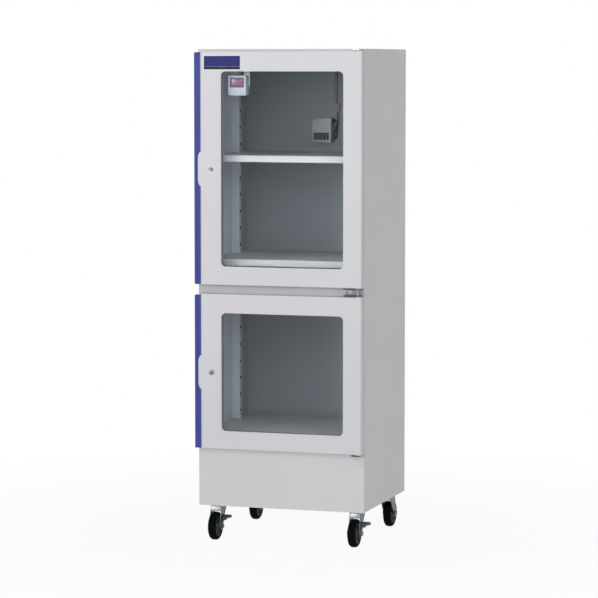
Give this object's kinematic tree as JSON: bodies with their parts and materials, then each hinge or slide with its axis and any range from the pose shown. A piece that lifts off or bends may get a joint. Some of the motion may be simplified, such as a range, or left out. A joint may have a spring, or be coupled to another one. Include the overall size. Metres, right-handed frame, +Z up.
{
  "type": "desiccator cabinet",
  "caption": "Tall dry storage cabinet on braked casters, with glazed locking doors on corner pivots, lift-out shelves, a hygrometer and a dry unit.",
  "frame": {"origin": "centre of the bounding box at the floor", "axes": "+X towards the hinge side, seen from the front on the right; -Y out of the front; +Z up"},
  "size_m": [0.5074, 0.4805, 1.43],
  "materials": {
    "body_enamel": "fine powder coat, warm light grey",
    "door_enamel": "satin powder coat, off-white",
    "inner_enamel": "satin powder coat, mid grey",
    "shelf_enamel": "satin powder coat, light grey",
    "handle_blue": "extruded, satin blue",
    "zinc_plate": "bright zinc plate",
    "lock_chrome": "bright chrome",
    "door_glass": "clear, polished",
    "seal_rubber": "matt black",
    "bush_nylon": "natural nylon",
    "hygrometer_abs": "pale blue-grey, moulded",
    "display_acrylic": "polished window over a dark display",
    "dry_unit_enamel": "satin mid grey",
    "black_plastic": "moulded, near black",
    "hub_nylon": "moulded dark grey",
    "tyre_rubber": "matt black",
    "brake_steel": "dark grey paint"
  },
  "bodies": {
    "cabinet": {"left_side_panel": "body_enamel", "right_side_panel": "body_enamel", "top_panel": "body_enamel", "back_panel": "body_enamel", "base_pan": "body_enamel", "front_skirt": "body_enamel", "mid_rail": "body_enamel", "chamber_floor": "inner_enamel", "shelf_posts": "inner_enamel", "upper_shelf": "shelf_enamel", "middle_shelf": "shelf_enamel", "lower_shelf": "shelf_enamel", "shelf_clips": "zinc_plate", "top_hinge_bracket": "zinc_plate", "middle_hinge_bracket": "zinc_plate", "bottom_hinge_bracket": "body_enamel", "hinge_pins": "zinc_plate", "hinge_screws": "zinc_plate", "hygrometer_case": "hygrometer_abs", "hygrometer_display": "display_acrylic", "hygrometer_hanger": "zinc_plate", "dry_unit_housing": "dry_unit_enamel", "dry_unit_grille": "black_plastic", "dry_unit_lead": "black_plastic", "cable_raceway": "black_plastic", "rear_vent_cover": "body_enamel", "power_inlet_gland": "black_plastic", "caster_plates": "zinc_plate"},
    "upper_door": {"upper_door_panel": "door_enamel", "upper_door_liner": "door_enamel", "upper_door_glass": "door_glass", "upper_glazing_seal": "seal_rubber", "upper_door_gasket": "seal_rubber", "upper_door_handle": "handle_blue", "upper_door_bushes": "bush_nylon", "upper_lock_body": "lock_chrome"},
    "upper_lock": {"upper_lock_plug": "lock_chrome"},
    "lower_door": {"lower_door_panel": "door_enamel", "lower_door_liner": "door_enamel", "lower_door_glass": "door_glass", "lower_glazing_seal": "seal_rubber", "lower_door_gasket": "seal_rubber", "lower_door_handle": "handle_blue", "lower_door_bushes": "bush_nylon", "lower_lock_body": "lock_chrome"},
    "lower_lock": {"lower_lock_plug": "lock_chrome"},
    "front_left_caster": {"front_left_fork": "zinc_plate"},
    "front_left_wheel": {"front_left_hub": "hub_nylon", "front_left_tyre": "tyre_rubber"},
    "front_left_pedal": {"front_left_brake": "brake_steel"},
    "front_right_caster": {"front_right_fork": "zinc_plate"},
    "front_right_wheel": {"front_right_hub": "hub_nylon", "front_right_tyre": "tyre_rubber"},
    "front_right_pedal": {"front_right_brake": "brake_steel"},
    "rear_left_caster": {"rear_left_fork": "zinc_plate"},
    "rear_left_wheel": {"rear_left_hub": "hub_nylon", "rear_left_tyre": "tyre_rubber"},
    "rear_right_caster": {"rear_right_fork": "zinc_plate"},
    "rear_right_wheel": {"rear_right_hub": "hub_nylon", "rear_right_tyre": "tyre_rubber"}
  },
  "joints": [
    {"name": "upper_door_hinge", "type": "hinge", "parent": "cabinet", "child": "upper_door", "pos_m": [0.2373, -0.22875, 1.0885], "axis": [0, 0, 1], "range_deg": [0, 135]},
    {"name": "upper_lock_turn", "type": "hinge", "parent": "upper_door", "child": "upper_lock", "pos_m": [-0.2007, -0.23875, 1.0865], "axis": [0, 1, 0], "range_deg": [0, 90]},
    {"name": "lower_door_hinge", "type": "hinge", "parent": "cabinet", "child": "lower_door", "pos_m": [0.2373, -0.22875, 0.50175], "axis": [0, 0, 1], "range_deg": [0, 135]},
    {"name": "lower_lock_turn", "type": "hinge", "parent": "lower_door", "child": "lower_lock", "pos_m": [-0.2007, -0.23875, 0.4995], "axis": [0, 1, 0], "range_deg": [0, 90]},
    {"name": "front_left_swivel", "type": "hinge", "parent": "cabinet", "child": "front_left_caster", "pos_m": [-0.2117, -0.15025, 0.0975], "axis": [0, 0, 1], "continuous": true},
    {"name": "front_left_roll", "type": "hinge", "parent": "front_left_caster", "child": "front_left_wheel", "pos_m": [-0.2117, -0.17625, 0.041], "axis": [1, 0, 0], "continuous": true},
    {"name": "front_left_brake_press", "type": "hinge", "parent": "front_left_caster", "child": "front_left_pedal", "pos_m": [-0.1928, -0.17625, 0.041], "axis": [-1, 0, 0], "range_deg": [0, 25]},
    {"name": "front_right_swivel", "type": "hinge", "parent": "cabinet", "child": "front_right_caster", "pos_m": [0.2123, -0.15025, 0.0975], "axis": [0, 0, 1], "continuous": true},
    {"name": "front_right_roll", "type": "hinge", "parent": "front_right_caster", "child": "front_right_wheel", "pos_m": [0.2123, -0.17625, 0.041], "axis": [1, 0, 0], "continuous": true},
    {"name": "front_right_brake_press", "type": "hinge", "parent": "front_right_caster", "child": "front_right_pedal", "pos_m": [0.2312, -0.17625, 0.041], "axis": [-1, 0, 0], "range_deg": [0, 25]},
    {"name": "rear_left_swivel", "type": "hinge", "parent": "cabinet", "child": "rear_left_caster", "pos_m": [-0.2117, 0.17325, 0.0975], "axis": [0, 0, 1], "continuous": true},
    {"name": "rear_left_roll", "type": "hinge", "parent": "rear_left_caster", "child": "rear_left_wheel", "pos_m": [-0.2117, 0.19925, 0.041], "axis": [1, 0, 0], "continuous": true},
    {"name": "rear_right_swivel", "type": "hinge", "parent": "cabinet", "child": "rear_right_caster", "pos_m": [0.2123, 0.17325, 0.0975], "axis": [0, 0, 1], "continuous": true},
    {"name": "rear_right_roll", "type": "hinge", "parent": "rear_right_caster", "child": "rear_right_wheel", "pos_m": [0.2123, 0.19925, 0.041], "axis": [1, 0, 0], "continuous": true}
  ]
}
